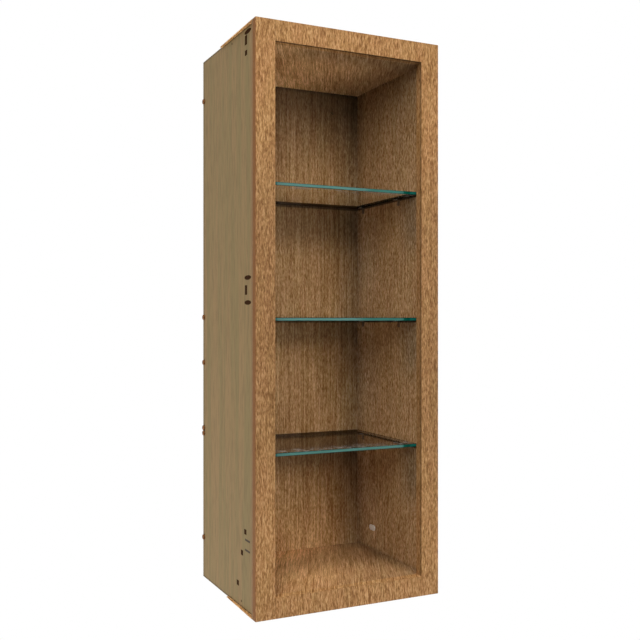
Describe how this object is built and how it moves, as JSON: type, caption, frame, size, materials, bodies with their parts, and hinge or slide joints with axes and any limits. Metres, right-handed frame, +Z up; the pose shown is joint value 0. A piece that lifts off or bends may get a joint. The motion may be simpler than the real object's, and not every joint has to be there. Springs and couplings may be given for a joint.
{
  "type": "wall cabinet",
  "caption": "Tall narrow open wall cabinet with an oak face frame and lift-off glass shelves on pins, hung by screws through its upper rail.",
  "frame": {"origin": "on the wall plane, midway between the two wall screw holes in the upper hanging rail", "axes": "+Z up, -Y out of the wall towards the room, +X to the right as seen from the room"},
  "size_m": [0.381, 0.3112, 1.0668],
  "materials": {
    "frame_oak": "clear satin lacquer on golden oak",
    "case_oak": "satin lacquer on oak-veneered board",
    "softwood": "planed, unfinished",
    "shelf_glass": "clear float glass, ground and polished edges",
    "pin_nickel": "nickel-plated",
    "pad_clear": "clear soft plastic",
    "screw_steel": "dark oiled steel",
    "screw_bronze": "bronze-coloured plating",
    "filler_dark": "dark wood filler, sanded flush",
    "cap_grey": "light grey moulded"
  },
  "bodies": {
    "cabinet": {"left_stile": "frame_oak", "right_stile": "frame_oak", "top_rail": "frame_oak", "bottom_rail": "frame_oak", "left_top_lip": "frame_oak", "left_bottom_lip": "frame_oak", "right_top_lip": "frame_oak", "right_bottom_lip": "frame_oak", "left_side": "case_oak", "right_side": "case_oak", "top_panel": "case_oak", "bottom_panel": "case_oak", "back_panel": "case_oak", "upper_hanging_rail": "softwood", "lower_hanging_rail": "softwood", "left_back_cleat": "softwood", "right_back_cleat": "softwood", "top_corner_blocks": "softwood", "bottom_corner_blocks": "softwood", "lower_shelf_pins": "pin_nickel", "middle_shelf_pins": "pin_nickel", "upper_shelf_pins": "pin_nickel", "lower_shelf_pads": "pad_clear", "middle_shelf_pads": "pad_clear", "upper_shelf_pads": "pad_clear", "left_frame_screws": "screw_steel", "right_frame_screws": "screw_steel", "left_staples": "screw_steel", "right_staples": "screw_steel", "left_rear_screws": "screw_bronze", "right_rear_screws": "screw_bronze", "left_filler_plugs": "filler_dark", "right_filler_plugs": "filler_dark", "left_pocket_plugs": "filler_dark", "right_pocket_plugs": "filler_dark", "cover_cap": "cap_grey"},
    "lower_shelf": {"lower_shelf": "shelf_glass"},
    "middle_shelf": {"middle_shelf": "shelf_glass"},
    "upper_shelf": {"upper_shelf": "shelf_glass"}
  },
  "joints": [
    {"name": "lower_shelf_lift", "type": "slide", "parent": "cabinet", "child": "lower_shelf", "axis": [0, 0, 1], "range_m": [0, 0.22]},
    {"name": "middle_shelf_lift", "type": "slide", "parent": "cabinet", "child": "middle_shelf", "axis": [0, 0, 1], "range_m": [0, 0.22]},
    {"name": "upper_shelf_lift", "type": "slide", "parent": "cabinet", "child": "upper_shelf", "axis": [0, 0, 1], "range_m": [0, 0.22]}
  ]
}
